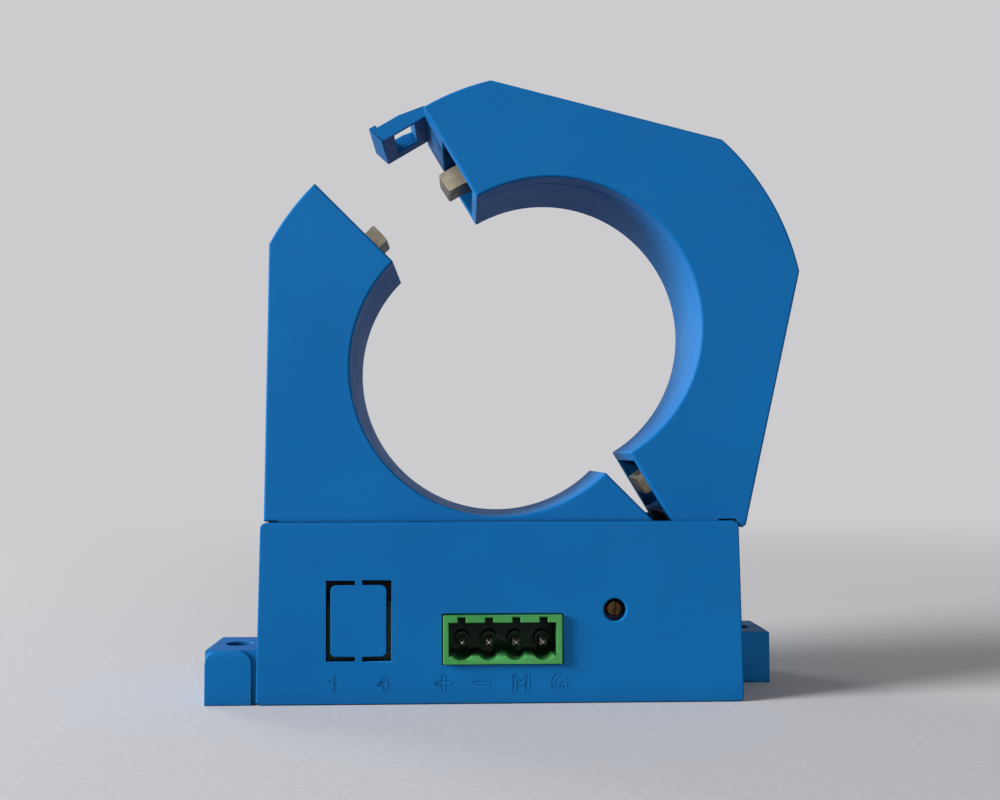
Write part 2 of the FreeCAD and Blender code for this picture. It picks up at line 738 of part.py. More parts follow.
def revolve(body, sketch, name, angle):
    item = body.newObject("PartDesign::Revolution", name)
    item.Profile = sketch
    item.ReferenceAxis = (sketch, ["V_Axis"])
    item.Midplane = True
    bind(item, {"Angle": angle})
    sketch.Visibility = False
    return item


def stand_in_half(item, half):
    """Lifts a piece drawn about the origin to the bore and turns it to its half of the ring."""
    lever = f"sqrt({HINGE_ACROSS} ^ 2 + ({BORE_UP} - {HINGE_UP}) ^ 2)"
    rock = f"{half}_core_travel / {lever} * 180 / pi"
    facing, turn = {"fixed": ("135", f"({rock})"), "moving": ("-45", f"(open_angle - {rock})")}[half]
    turn_about_hinge(item, turn, facing, *BORE)


def core(half):
    label = half + "_core"
    body = new_body(label)
    span = f"180 - 2 * core_end_gap / {CORE_INNER} * 180 / pi"
    section = rectangle(
        sketch_on(body, "XY_Plane", label + "_outline"),
        (CORE_INNER, CORE_OUTER), (f"core_shift - {CORE_HALF}", f"core_shift + {CORE_HALF}"),
    )
    revolve(body, section, label + "_stack", span)
    stand_in_half(body, half)
    return keep(body, label)


def tube_outline(sketch, inside, outside):
    """Two rectangles round the core's section, each grown from it on all four sides."""
    for grow in (outside, inside):
        rectangle(
            sketch, (f"{CORE_INNER} - ({grow})", f"{CORE_OUTER} + ({grow})"),
            (f"core_shift - {CORE_HALF} - ({grow})", f"core_shift + {CORE_HALF} + ({grow})"),
        )
    return sketch


def bent_tube(label, angle, inside, outside):
    body = new_body(label)
    outline = tube_outline(sketch_on(body, "XY_Plane", label + "_outline"), inside, outside)
    revolve(body, outline, label + "_tube", angle)
    return body


def coil(half):
    """A moulded former with two end flanges, and the winding between them."""
    wall = "former_fit + former_wall"
    full = f"{wall} + winding_thickness"
    label = half + "_coil_former"
    former = bent_tube(label, "coil_angle", "former_fit", wall)
    flange_turn = f"former_flange / {CORE_INNER} * 180 / pi"
    for k, side in enumerate(("-", ""), start=1):
        ring = former.newObject("Sketcher::SketchObject", f"{label}_flange_{k}_outline")
        tube_outline(ring, "former_fit", full)
        ring.Placement.Rotation = FreeCAD.Rotation(FreeCAD.Vector(0, 1, 0), 1)
        bind(ring, {"Placement.Rotation.Angle": f"{side}(coil_angle - {flange_turn}) / 2"})
        revolve(former, ring, f"{label}_flange_{k}", flange_turn)
    stand_in_half(former, half)
    keep(former, label)
    winding = bent_tube(half + "_winding", f"coil_angle - 2 * {flange_turn}", wall, full)
    stand_in_half(winding, half)
    keep(winding, half + "_winding")


# Hinge pin


def hinge_pin():
    reach = f"({SHELL_DEPTH} - pin_end_wall - hinge_side_gap / 2)"
    return keep(rod("hinge_pin", "pin_radius", *HINGE, (f"-{reach}", reach)), "hinge_pin")


# Circuit board and what it carries


def pole_across(pole):
    return f"header_across + {pole - (POLE_COUNT - 1) / 2} * pole_pitch"


def lead_across(lead):
    return f"{TRIMMER_MIDDLE} + {lead - (LEAD_COUNT - 1) / 2} * lead_pitch"


TERMINAL_UP = "(" + HEADER_BOTTOM + " + terminal_height)"
TRIMMER_MIDDLE = "(trimmer_across + trimmer_screw_side - trimmer_width / 2)"
TRIMMER_LEAD_UP = "(" + TRIMMER_UP + " + trimmer_screw_top - trimmer_tall / 2)"


def circuit_board():
    half = f"({HALF_BASE} - base_wall - board_side_gap)"
    plate = box("board_plate", (f"-{half}", half), (BOARD_FRONT, BOARD_BACK),
                ("board_bottom", "ring_bottom - board_top_gap"))
    through = (f"{BOARD_FRONT} - overrun", f"{BOARD_BACK} + overrun")
    holes = [
        rod(f"board_screw_hole_{k}", "screw_radius + screw_fit", side + SCREW_ACROSS, "screw_height", through)
        for k, side in enumerate(("-", ""), start=1)
    ]
    holes += [
        rod(f"board_terminal_hole_{k + 1}", "terminal_hole_radius", pole_across(k), TERMINAL_UP, through)
        for k in range(POLE_COUNT)
    ]
    holes += [
        rod(f"board_lead_hole_{k + 1}", "lead_hole_radius", lead_across(k), TRIMMER_LEAD_UP, through)
        for k in range(LEAD_COUNT)
    ]
    return keep(cut("board_drilled", plate, *holes), "circuit_board")


def terminal_header():
    label = "terminal_header"
    body = new_body(label)
    face = f"({SHELL_DEPTH} + header_proud)"
    outline = rectangle(
        sketch_on(body, "XZ_Plane", label + "_outline", f"-{BOARD_FRONT}"),
        ("header_across - header_width / 2", "header_across + header_width / 2"),
        (HEADER_BOTTOM, HEADER_TOP),
    )
    feature(body, "Pad", label + "_block", outline, "header_depth")
    depth = "header_depth - header_floor"
    mouth = rectangle(
        sketch_on(body, "XZ_Plane", label + "_mouth_outline", face),
        ("header_across - mouth_width / 2", "header_across + mouth_width / 2"),
        (f"{HEADER_BOTTOM} + mouth_bottom", f"{HEADER_TOP} - mouth_top"),
    )
    feature(body, "Pocket", label + "_mouth", mouth, depth)

    # One pole: a scallop under the mouth, a key slot over it and the hole for its terminal
    scallop = circle(
        sketch_on(body, "XZ_Plane", label + "_scallop_outline", face),
        "scallop_radius", pole_across(0), f"{HEADER_BOTTOM} + mouth_bottom - scallop_drop + scallop_radius",
    )
    key = rectangle(
        sketch_on(body, "XZ_Plane", label + "_key_outline", face),
        (f"{pole_across(0)} - key_width / 2", f"{pole_across(0)} + key_width / 2"),
        (TERMINAL_UP, f"{HEADER_TOP} - mouth_top + key_depth"),
    )
    hole_half = "(terminal_side / 2 + terminal_fit)"
    hole = rectangle(
        sketch_on(body, "XZ_Plane", label + "_terminal_outline", face),
        (f"{pole_across(0)} - {hole_half}", f"{pole_across(0)} + {hole_half}"),
        (f"{TERMINAL_UP} - {hole_half}", f"{TERMINAL_UP} + {hole_half}"),
    )
    pole = [
        feature(body, "Pocket", label + "_scallop", scallop, depth),
        feature(body, "Pocket", label + "_key", key, depth),
        feature(body, "Pocket", label + "_terminal_hole", hole, "header_depth + overrun"),
    ]
    row = body.newObject("PartDesign::LinearPattern", label + "_poles")
    row.Originals = pole
    row.Direction = (outline, ["H_Axis"])
    row.Occurrences = POLE_COUNT
    bind(row, {"Length": f"{POLE_COUNT - 1} * pole_pitch"})
    body.Tip = row
    return keep(body, label)


def terminal_pins():
    """Square pins with a blunt point at the front."""
    for pole in range(POLE_COUNT):
        label = f"terminal_pin_{pole + 1}"
        body = new_body(label)
        outline = rectangle(
            sketch_on(body, "XZ_Plane", label + "_outline", f"-{BOARD_BACK} - terminal_tail"),
            (f"{pole_across(pole)} - terminal_side / 2", f"{pole_across(pole)} + terminal_side / 2"),
            (f"{TERMINAL_UP} - terminal_side / 2", f"{TERMINAL_UP} + terminal_side / 2"),
        )
        length = f"{BOARD_BACK} + terminal_tail - ({FRONT} - header_proud + terminal_recess)"
        bar = feature(body, "Pad", label + "_bar", outline, length)
        doc.recompute()
        point = body.newObject("PartDesign::Chamfer", label + "_point")
        front = bar.Shape.BoundBox.YMin
        point.Base = (bar, edges_where(bar.Shape, lambda edge: edge.BoundBox.YMax < front + 1e-3))
        bind(point, {"Size": "terminal_point"})
        keep(body, label)


def trimmer():
    right = "(trimmer_across + trimmer_screw_side)"
    top = f"({TRIMMER_UP} + trimmer_screw_top)"
    face = f"({BOARD_FRONT} - trimmer_depth)"
    block = box("trimmer_block", (f"{right} - trimmer_width", right), (face, BOARD_FRONT),
                (f"{top} - trimmer_tall", top))
    well = rod("adjuster_well", "adjuster_radius + adjuster_fit", "trimmer_across", TRIMMER_UP,
               (f"{face} - overrun", f"{face} + adjuster_sunk"))
    keep(cut("trimmer_case", block, well), "trimmer_body")

    label = "trimmer_screw"
    body = new_body(label)
    head = circle(
        sketch_on(body, "XZ_Plane", label + "_outline", f"-{face} - adjuster_sunk + adjuster_fit"),
        "adjuster_radius", "trimmer_across", TRIMMER_UP,
    )
    feature(body, "Pad", label + "_stem", head, "adjuster_sunk - adjuster_fit + adjuster_proud")
    slot = rectangle(
        sketch_on(body, "XZ_Plane", label + "_slot_outline", f"-{face} + adjuster_proud"),
        ("trimmer_across - adjuster_slot_width / 2", "trimmer_across + adjuster_slot_width / 2"),
        (f"{TRIMMER_UP} - 2 * adjuster_radius", f"{TRIMMER_UP} + 2 * adjuster_radius"),
    )
    feature(body, "Pocket", label + "_slot", slot, "adjuster_slot_depth")
    keep(body, label)

    leads = [
        box(f"trimmer_lead_{k + 1}", (f"{lead_across(k)} - lead_side / 2", f"{lead_across(k)} + lead_side / 2"),
            (BOARD_FRONT, f"{BOARD_BACK} + lead_tail"),
            (f"{TRIMMER_LEAD_UP} - lead_side / 2", f"{TRIMMER_LEAD_UP} + lead_side / 2"))
        for k in range(LEAD_COUNT)
    ]
    keep(fuse("trimmer_lead_set", *leads), "trimmer_leads")


def board_components():
    chip_middle = f"(chip_from_screw - {SCREW_ACROSS})"
    chip = box(
        "amplifier_chip", (f"{chip_middle} - chip_width / 2", f"{chip_middle} + chip_width / 2"),
        (BOARD_BACK, f"{BOARD_BACK} + chip_depth"),
        ("screw_height - chip_height / 2", "screw_height + chip_height / 2"),
    )
    keep(chip, "amplifier_chip")
    can = rod("filter_capacitor", "capacitor_radius", f"{SCREW_ACROSS} - capacitor_from_screw", "screw_height",
              (BOARD_BACK, f"{BOARD_BACK} + capacitor_length"))
    keep(can, "filter_capacitor")


def housing_screws():
    """Two long screws from the back through sleeve and board into the front posts."""
    screws = []
    for k, side in enumerate(("-", ""), start=1):
        place = (side + SCREW_ACROSS, "screw_height")
        shank = rod(f"screw_shank_{k}", "screw_radius", *place,
                    (f"{BOARD_FRONT} - screw_bite", f"{SHELL_DEPTH} - screw_head_height"))
        head = rod(f"screw_head_{k}", "screw_head_radius", *place,
                   (f"{SHELL_DEPTH} - screw_head_height", SHELL_DEPTH))
        socket = box(
            f"screw_socket_{k}",
            (f"{place[0]} - socket_width / 2", f"{place[0]} + socket_width / 2"),
            (f"{SHELL_DEPTH} - socket_depth", f"{SHELL_DEPTH} + overrun"),
            ("screw_height - socket_width / 2", "screw_height + socket_width / 2"),
        )
        screws.append(cut(f"screw_{k}", fuse(f"screw_blank_{k}", shank, head), socket))
    return keep(fuse("screw_pair", *screws), "housing_screws")


front_shell()
rear_shell()
fixed_tray()
fixed_cover()
moving_tray()
moving_cover()
for ring_half in ("fixed", "moving"):
    core(ring_half)
    coil(ring_half)
hinge_pin()
circuit_board()
terminal_header()
terminal_pins()
trimmer()
board_components()
housing_screws()
doc.recompute()

failed = [item.Name for item in doc.Objects if {"Invalid", "Error"} & set(item.State)]
if failed:
    raise SystemExit("failed objects: " + ", ".join(failed))
for part in PARTS:
    if part.Shape.isNull() or not part.Shape.isValid() or not part.Shape.Solids:
        raise SystemExit("bad shape: " + part.Label)

os.makedirs("parts", exist_ok=True)
for part in PARTS:
    part.Shape.exportStep(f"parts/{part.Label}.step")
    print(part.Label, len(part.Shape.Solids), "solids", round(part.Shape.Volume, 1), "mm3")
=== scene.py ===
import bpy
import bmesh
import json
import math
import random
from mathutils import Matrix, Vector


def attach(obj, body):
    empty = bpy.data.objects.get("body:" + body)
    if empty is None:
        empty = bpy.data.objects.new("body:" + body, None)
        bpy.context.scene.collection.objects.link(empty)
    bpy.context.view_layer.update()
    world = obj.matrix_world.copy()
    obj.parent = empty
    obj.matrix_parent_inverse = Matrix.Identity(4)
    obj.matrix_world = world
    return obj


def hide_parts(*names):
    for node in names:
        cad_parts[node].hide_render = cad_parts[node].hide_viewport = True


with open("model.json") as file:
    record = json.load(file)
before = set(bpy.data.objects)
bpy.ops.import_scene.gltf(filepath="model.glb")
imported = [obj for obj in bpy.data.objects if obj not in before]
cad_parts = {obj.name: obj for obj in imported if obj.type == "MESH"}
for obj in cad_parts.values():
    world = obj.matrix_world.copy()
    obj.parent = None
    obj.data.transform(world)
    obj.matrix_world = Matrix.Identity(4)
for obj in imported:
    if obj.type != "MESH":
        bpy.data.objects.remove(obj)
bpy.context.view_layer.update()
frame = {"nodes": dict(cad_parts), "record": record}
print("frame loaded:", len(frame["nodes"]), "nodes")

mm = 0.001
sameSpot = 0.001 * mm  # points nearer than this are one point
flatUnder = math.radians(0.1)  # faces that turn less than this are one flat face
smoothUnder = math.radians(30)  # edges that turn less than this stay smooth
facing = 0.9  # a face looks along an axis if its normal has more of it than this
depthSlack = 0.02 * mm
toFront = Matrix.Rotation(math.radians(90), 4, "X")  # turns what was made lying flat to the front

# camera
cameraView = {
    "place": (-4.63, -180.8, 35.1),  # in mm
    "yaw": 0.0274,  # angles in radians
    "pitch": 0.0433,
    "roll": -0.0033,
    "lens": 42.9,
    "sensor": 36,
    "nearest": 0.01,
}


def makeCamera():
    v = cameraView
    data = bpy.data.cameras.new("studioCamera")
    data.lens = v["lens"]
    data.sensor_width = v["sensor"]
    data.clip_start = v["nearest"]
    camera = bpy.data.objects.new("studioCamera", data)
    turn = (
        Matrix.Rotation(-v["yaw"], 4, "Z")
        @ Matrix.Rotation(math.radians(90) + v["pitch"], 4, "X")
        @ Matrix.Rotation(v["roll"], 4, "Z")
    )
    camera.matrix_world = Matrix.Translation(Vector(v["place"]) * mm) @ turn
    bpy.context.collection.objects.link(camera)
    bpy.context.scene.camera = camera


makeCamera()
print("camera placed")

# shader helpers
noiseMiddle = (0.3, 0.7)  # most of a noise lies between these


def linear(red, green, blue):
    # colours are noted as they look on screen, 0 to 255, and the sRGB curve is undone here
    shares = [level / 255 for level in (red, green, blue)]
    return tuple(
        share / 12.92 if share <= 0.04045 else ((share + 0.055) / 1.055) ** 2.4 for share in shares
    ) + (1.0,)


class Shader:
    # a new material with its nodes, and short ways to add to them
    def __init__(self, name):
        self.material = bpy.data.materials.new(name)
        self.material.use_nodes = True
        self.nodes = self.material.node_tree.nodes
        self.links = self.material.node_tree.links
        self.bsdf = self.nodes["Principled BSDF"]
        self.coordinates = self.nodes.new("ShaderNodeTexCoord").outputs["Object"]

    def add(self, kind, inputs, **settings):
        node = self.nodes.new(kind)
        for key, value in settings.items():
            setattr(node, key, value)
        for key, value in inputs.items():
            if isinstance(value, bpy.types.NodeSocket):
                self.links.new(value, node.inputs[key])
            else:
                node.inputs[key].default_value = value
        return node

    def noise(self, scale, detail=3, roughness=0.55, stretch=None):
        vector = self.coordinates
        if stretch:
            vector = self.add("ShaderNodeMapping", {"Vector": vector, "Scale": stretch}).outputs[0]
        inputs = {"Vector": vector, "Scale": scale, "Detail": detail, "Roughness": roughness}
        return self.add("ShaderNodeTexNoise", inputs).outputs["Fac"]

    def ramp(self, fac, low, high, first, second):
        node = self.add("ShaderNodeValToRGB", {"Fac": fac})
        node.color_ramp.elements[0].position = low
        node.color_ramp.elements[1].position = high
        node.color_ramp.elements[0].color = first
        node.color_ramp.elements[1].color = second
        return node.outputs["Color"]

    def rescale(self, value, start, end, low=0.0, high=1.0, **settings):
        inputs = {"Value": value, "From Min": start, "From Max": end, "To Min": low, "To Max": high}
        return self.add("ShaderNodeMapRange", inputs, **settings).outputs["Result"]

    def spread(self, noise, low, high):
        # stretches the middle of a noise to the range low to high
        return self.rescale(noise, *noiseMiddle, low, high)

    def blend(self, fac, first, second):
        # a Mix node's colours are its inputs 6 and 7 and its output 2
        return self.add("ShaderNodeMix", {0: fac, 6: first, 7: second}, data_type="RGBA").outputs[2]

    def bump(self, height, strength, distance, normal=None):
        inputs = {"Height": height, "Strength": strength, "Distance": distance}
        if normal:
            inputs["Normal"] = normal
        return self.add("ShaderNodeBump", inputs).outputs["Normal"]

    def finish(self, color, roughness, normal, metallic=0.0):
        self.links.new(color, self.bsdf.inputs["Base Color"])
        self.links.new(roughness, self.bsdf.inputs["Roughness"])
        self.links.new(normal, self.bsdf.inputs["Normal"])
        self.bsdf.inputs["Metallic"].default_value = metallic
        return self.material


# moulded plastics; a noise is given by its scale, detail and roughness
plasticLook = {
    "flow": (45, 4, 0.6),
    "flowStrength": 0.2,
    "flowDepth": 0.6 * mm,
    "grain": (2600, 2),
    "grainDepth": 0.04 * mm,
    "scuffs": (180, 4, 0.7),
    "shine": 0.08,
    # painted shade for occluded spots: how far it looks, how many samples it takes, and the dark
    # colour it paints
    "hollowReach": 8 * mm,
    "hollowSamples": 6,
    "hollow": (0.18, 0.5),  # painted shade: how open a spot is where it is darkest, and where none is painted
    "hollowDark": linear(6, 14, 24),
}
caseBlue = {"deep": linear(4, 92, 154), "pale": linear(9, 100, 163), "roughness": (0.5, 0.62)}
plastics = {  # by slot; sunk_blue is for the cover whose foot stands in the base, with painted shade on that foot
    "blue_case": {"name": "blueCase", **caseBlue},
    "sunk_blue": {
        "name": "blueCaseSunk", **caseBlue,
        # painted shade: darker towards the foot, where it stands inside the base
        "shade": ("Z", 25.6 * mm, 24.6 * mm, linear(3, 8, 16)),
    },
    "green_plastic": {
        "name": "headerGreen", "deep": linear(58, 134, 68), "pale": linear(72, 144, 80),
        # painted shade: the green darkens towards the floor of the header's cavity
        "roughness": (0.4, 0.5), "shade": ("Y", -12.9 * mm, -7.6 * mm, linear(8, 30, 16)),
    },
    "former_plastic": {
        "name": "coilFormer", "deep": linear(16, 16, 20), "pale": linear(28, 28, 32),
        "roughness": (0.4, 0.55),
    },
    "trimmer_plastic": {
        "name": "trimmerCase", "deep": linear(18, 40, 96), "pale": linear(26, 54, 116),
        "roughness": (0.35, 0.45),
    },
    "chip_plastic": {
        "name": "chipCase", "deep": linear(22, 22, 23), "pale": linear(36, 36, 37),
        "roughness": (0.5, 0.65), "grain": 0.3,
    },
}


def mouldedPlastic(name, deep, pale, roughness, grain=0.1, shade=None):
    # satin moulded plastic: slow flow marks, fine spark grain, patchy gloss, and painted shade
    # where it is occluded;
    # shade is (axis, start, end, dark): painted shade that darkens it along an axis, for walls deep
    # inside
    s = Shader(name)
    p = plasticLook
    flow = s.noise(*p["flow"])
    fine = s.noise(*p["grain"])
    color = s.ramp(flow, *noiseMiddle, deep, pale)
    dark = p["hollowDark"]
    if shade:
        axis, start, end, dark = shade
        along = s.add("ShaderNodeSeparateXYZ", {0: s.coordinates}).outputs[axis]
        color = s.blend(s.rescale(along, start, end), color, dark)
    shadow = s.add(
        "ShaderNodeAmbientOcclusion", {"Distance": p["hollowReach"]}, samples=p["hollowSamples"]
    )
    hollow = s.rescale(shadow.outputs["AO"], *p["hollow"], 1.0, 0.0)
    color = s.blend(hollow, color, dark)  # painted shade: deep channels and crevices are darkened where the occlusion finds them
    gloss = s.spread(s.noise(*p["scuffs"]), *roughness)
    normal = s.bump(fine, grain, p["grainDepth"])
    normal = s.bump(flow, p["flowStrength"], p["flowDepth"], normal)
    s.bsdf.distribution = "GGX"
    s.bsdf.inputs["Specular IOR Level"].default_value = p["shine"]
    return s.finish(color, gloss, normal)


# metals and lacquered metals; a noise may also be stretched along an axis
copperTurns = (900, 2, 0.5, (1, 1, 0.2))
oxideStreaks = (1500, 3, 0.6, (1, 0.15, 1))
bareMetal = {
    "stain": (500, 4), "reach": (0.3, 0.72), "lines": (3000, 2, 0.5, (1, 0.08, 1)),
    "strength": 0.2, "depth": 0.03 * mm, "metallic": 1.0,
}
metals = {  # by slot; core_edge is the second finish of the cores
    "enamel_copper": {
        "name": "enamelledCopper", "stain": copperTurns, "reach": noiseMiddle,
        "dark": linear(120, 58, 26), "bright": linear(186, 104, 52),
        "lines": copperTurns, "roughness": (0.25, 0.4),
        "strength": 0.4, "depth": 0.1 * mm, "metallic": 0.8,
    },
    "core_sheet": {  # the varnished flat of a lamination
        "name": "coreFace", "stain": (700, 3), "reach": (0.32, 0.7),
        "dark": linear(134, 124, 102), "bright": linear(168, 158, 134),
        "lines": (2200, 3, 0.6, (0.3, 1, 0.3)), "roughness": (0.42, 0.62),
        "strength": 0.25, "depth": 0.04 * mm, "metallic": 0.1,
    },
    "core_edge": {  # its cut edge, dark oxide with bare streaks
        "name": "coreEdge", "stain": oxideStreaks, "reach": (0.42, 0.78),
        "dark": linear(20, 20, 22), "bright": linear(84, 80, 70),
        "lines": oxideStreaks, "roughness": (0.4, 0.6),
        "strength": 0.3, "depth": 0.04 * mm, "metallic": 0.2,
    },
    "steel": {
        "name": "zincSteel", **bareMetal, "roughness": (0.28, 0.42),
        "dark": linear(128, 130, 134), "bright": linear(188, 190, 192),
    },
    "tinned_pin": {
        "name": "tinnedBrass", **bareMetal, "roughness": (0.34, 0.46),
        "dark": linear(104, 102, 92), "bright": linear(150, 148, 136),
    },
    "brass": {
        "name": "turnedBrass", **bareMetal, "roughness": (0.4, 0.55),
        "dark": linear(46, 33, 21), "bright": linear(84, 63, 40),
    },
    "can_aluminium": {
        "name": "drawnCan", **bareMetal, "roughness": (0.25, 0.4),
        "dark": linear(150, 152, 156), "bright": linear(206, 208, 210),
    },
}


def wornMetal(name, stain, reach, dark, bright, lines, roughness, strength, depth, metallic):
    # a stain gives the colour, and finer lines the gloss and the relief
    s = Shader(name)
    color = s.ramp(s.noise(*stain), *reach, dark, bright)
    fine = s.noise(*lines)
    return s.finish(color, s.spread(fine, *roughness), s.bump(fine, strength, depth), metallic)


boardLook = {
    "stain": (90, 3),
    "deep": linear(12, 72, 44),
    "pale": linear(20, 92, 56),
    "gloss": 400,
    "roughness": (0.3, 0.45),
    "thread": 0.9 * mm,
    "threadGap": 0.12 * mm,
    "threadTones": ((0.4, 0.4, 0.4, 1), (0.6, 0.6, 0.6, 1)),
    "strength": 0.15,
    "depth": 0.03 * mm,
}


def lacqueredBoard():
    # green lacquer over woven glass
    s = Shader("boardLaminate")
    b = boardLook
    weave = s.add("ShaderNodeTexBrick", {
        "Vector": s.coordinates, "Scale": 1.0, "Mortar Size": b["threadGap"],
        "Brick Width": b["thread"], "Row Height": b["thread"],
        "Color1": b["threadTones"][0], "Color2": b["threadTones"][1],
    })
    color = s.ramp(s.noise(*b["stain"]), *noiseMiddle, b["deep"], b["pale"])
    gloss = s.spread(s.noise(b["gloss"]), *b["roughness"])
    return s.finish(color, gloss, s.bump(weave.outputs["Color"], b["strength"], b["depth"]))


materials = {slot: mouldedPlastic(**look) for slot, look in plastics.items()}
materials.update({slot: wornMetal(**look) for slot, look in metals.items()})
materials["board_laminate"] = lacqueredBoard()
print("materials made:", len(materials))

# every carried-over node takes the material of its slot in the record
record = frame["record"]
nodeSlot = {part["node"]: part["material_slot"] for part in record["subparts"]}
nodeBody = {node: body for body, nodes in record["behaviour"]["bodies"].items() for node in nodes}
for node, cadObject in frame["nodes"].items():
    cadObject.data.materials.clear()
    cadObject.data.materials.append(materials[nodeSlot[node]])
print("nodes dressed")


# helpers for pieces
def meshCopy(node):
    # a CAD node's loose triangles, merged and with its flat faces made whole
    bm = bmesh.new()
    bm.from_mesh(frame["nodes"][node].data)
    bmesh.ops.remove_doubles(bm, verts=bm.verts, dist=sameSpot)
    bmesh.ops.dissolve_limit(
        bm, angle_limit=flatUnder, use_dissolve_boundaries=False, verts=bm.verts, edges=bm.edges
    )
    return bm


def makePiece(name, bm, finishes, body, crease=smoothUnder):
    mesh = bpy.data.meshes.new(name)
    bm.to_mesh(mesh)
    bm.free()
    for finish in finishes:
        mesh.materials.append(materials[finish])
    mesh.shade_smooth()
    mesh.set_sharp_from_angle(angle=crease)
    piece = bpy.data.objects.new(name, mesh)
    bpy.context.collection.objects.link(piece)
    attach(piece, body)
    return piece


def roundable(edge):
    return len(edge.link_faces) == 2 and edge.calc_face_angle_signed() > smoothUnder


def softened(node, widthOf, widest, first=None, segments=3, finish=None, crease=smoothUnder):
    # stands for a CAD node: its merged copy with rounded edges, each as wide as widthOf says
    bm = meshCopy(node)
    if first:
        first(bm)
    weight = bm.edges.layers.float.new("bevel_weight_edge")
    for edge in bm.edges:
        if roundable(edge):
            edge[weight] = min(1.0, widthOf(edge) / widest)
    slot = nodeSlot[node]
    piece = makePiece(node + "_moulded", bm, [finish or slot], nodeBody[node], crease)
    bevel = piece.modifiers.new("roundedEdges", "BEVEL")
    bevel.limit_method = "WEIGHT"
    bevel.width = widest
    bevel.segments = segments
    bevel.profile = 0.5
    bevel.use_clamp_overlap = False
    bevel.harden_normals = True
    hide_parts(node)


def atDepth(edge, depth):
    return all(abs(corner.co.y - depth) < depthSlack for corner in edge.verts)


# ring halves; each width is that of the rounding on some of the edges
ringEdges = {
    "crease": math.radians(9),  # the slopes of the catch stay crisp
    "tight": 0.3 * mm,  # edges beside steps lower than this stay sharp
    "sameWay": 0.9,  # edges whose directions agree less than this meet at an angle
    "seam": 0.2 * mm,
    "outer": 0.36 * mm,
    "front": -10.95 * mm,
    "back": 10.95 * mm,
    "foot": 0.12 * mm,
    "footBelow": 26.6 * mm,
    "footFrom": 22 * mm,
    "strap": 0.16 * mm,
    "strapBefore": -10.6 * mm,
    "strapAbove": 65 * mm,
}


def roomBeside(edge):
    # how wide a bevel this edge has room for, from the edges that leave its ends at an angle
    along = (edge.verts[1].co - edge.verts[0].co).normalized()
    room = math.inf
    for corner in edge.verts:
        for other in corner.link_edges:
            reach = other.verts[1].co - other.verts[0].co
            if other is not edge and abs(along.dot(reach.normalized())) < ringEdges["sameWay"]:
                room = min(room, reach.length)
    return room


def ringEdge(edge):
    r = ringEdges
    corners = [corner.co for corner in edge.verts]
    if roomBeside(edge) < r["tight"]:
        return 0
    if all(place.z < r["footBelow"] and place.x > r["footFrom"] for place in corners):
        return r["foot"]  # the moving half passes close over the base here
    if atDepth(edge, r["front"]) or atDepth(edge, r["back"]):
        return r["outer"]
    if all(place.x < r["strapBefore"] and place.z > r["strapAbove"] for place in corners):
        return r["strap"]
    return r["seam"]


for node in ("fixed_ring_tray", "moving_ring_tray", "moving_ring_cover"):
    softened(node, ringEdge, ringEdges["outer"], crease=ringEdges["crease"])
softened("fixed_ring_cover", ringEdge, ringEdges["outer"], finish="sunk_blue")
print("ring halves rounded")

# base shells
knockout = {
    "middle": (-19.85 * mm, 11.6 * mm),
    "tileHalf": (3.9 * mm, 4.95 * mm),  # half the tile's width and height, inside the slots
    "slack": 0.05 * mm,
    "cornerRadius": 0.75 * mm,
    "segments": 5,
}


def roundTile(bm):
    # the four corners of the knock-out's tile, whose edges run straight back
    k = knockout
    corners = []
    for edge in bm.edges:
        a, b = (corner.co for corner in edge.verts)
        if abs(a.x - b.x) + abs(a.z - b.z) > sameSpot:
            continue
        across, up = abs(a.x - k["middle"][0]), abs(a.z - k["middle"][1])
        if abs(across - k["tileHalf"][0]) < k["slack"] and abs(up - k["tileHalf"][1]) < k["slack"]:
            corners.append(edge)
    bmesh.ops.bevel(
        bm, geom=corners, offset=k["cornerRadius"], offset_type="OFFSET", segments=k["segments"],
        profile=0.5, affect="EDGES", material=-1, clamp_overlap=True,
    )
    print("tile corners rounded:", len(corners))


baseEdges = {
    "ear": 0.14 * mm,
    "earFrom": 34.2 * mm,
    "rim": 0.25 * mm,
    "rimFrom": 33 * mm,  # the rim is further out than this, or below or above these heights
    "rimBelow": 0.8 * mm,
    "rimAbove": 24.4 * mm,
    "trimmerHole": 0.32 * mm,
    "trimmerAcross": 16 * mm,
    "trimmerReach": 2 * mm,
    "trimmerBefore": -13 * mm,
    "openings": 0.12 * mm,
    "openingsFrom": 11.2 * mm,  # what lies nearer to the middle stays sharp
}


def baseEdge(edge):
    b = baseEdges
    middle = (edge.verts[0].co + edge.verts[1].co) / 2
    if any(abs(corner.co.x) > b["earFrom"] for corner in edge.verts):
        return b["ear"]
    if abs(middle.x) > b["rimFrom"] or middle.z < b["rimBelow"] or middle.z > b["rimAbove"]:
        return b["rim"]
    if abs(middle.x - b["trimmerAcross"]) < b["trimmerReach"] and middle.y < b["trimmerBefore"]:
        return b["trimmerHole"]
    return b["openings"] if abs(middle.y) > b["openingsFrom"] else 0


softened("base_front_shell", baseEdge, baseEdges["rim"], first=roundTile)
softened("base_rear_shell", baseEdge, baseEdges["rim"])
print("base shells rounded")

# header, trimmer and screws
smallEdges = {
    "terminal_header": 0.16 * mm,
    "housing_screws": 0.15 * mm,
    "trimmer_screw": 0.08 * mm,
    "trimmer_body": 0.15 * mm,
}
for node, width in smallEdges.items():
    softened(node, lambda edge: width, width)

# pins, each with a tapered tip
pinEdges = {"poles": 4, "tipDepth": -12.35 * mm, "tip": 0.35 * mm, "side": 0.08 * mm}


def pinEdge(edge):
    return pinEdges["tip"] if atDepth(edge, pinEdges["tipDepth"]) else pinEdges["side"]


for pole in range(pinEdges["poles"]):
    softened(f"terminal_pin_{pole + 1}", pinEdge, pinEdges["tip"], segments=2)

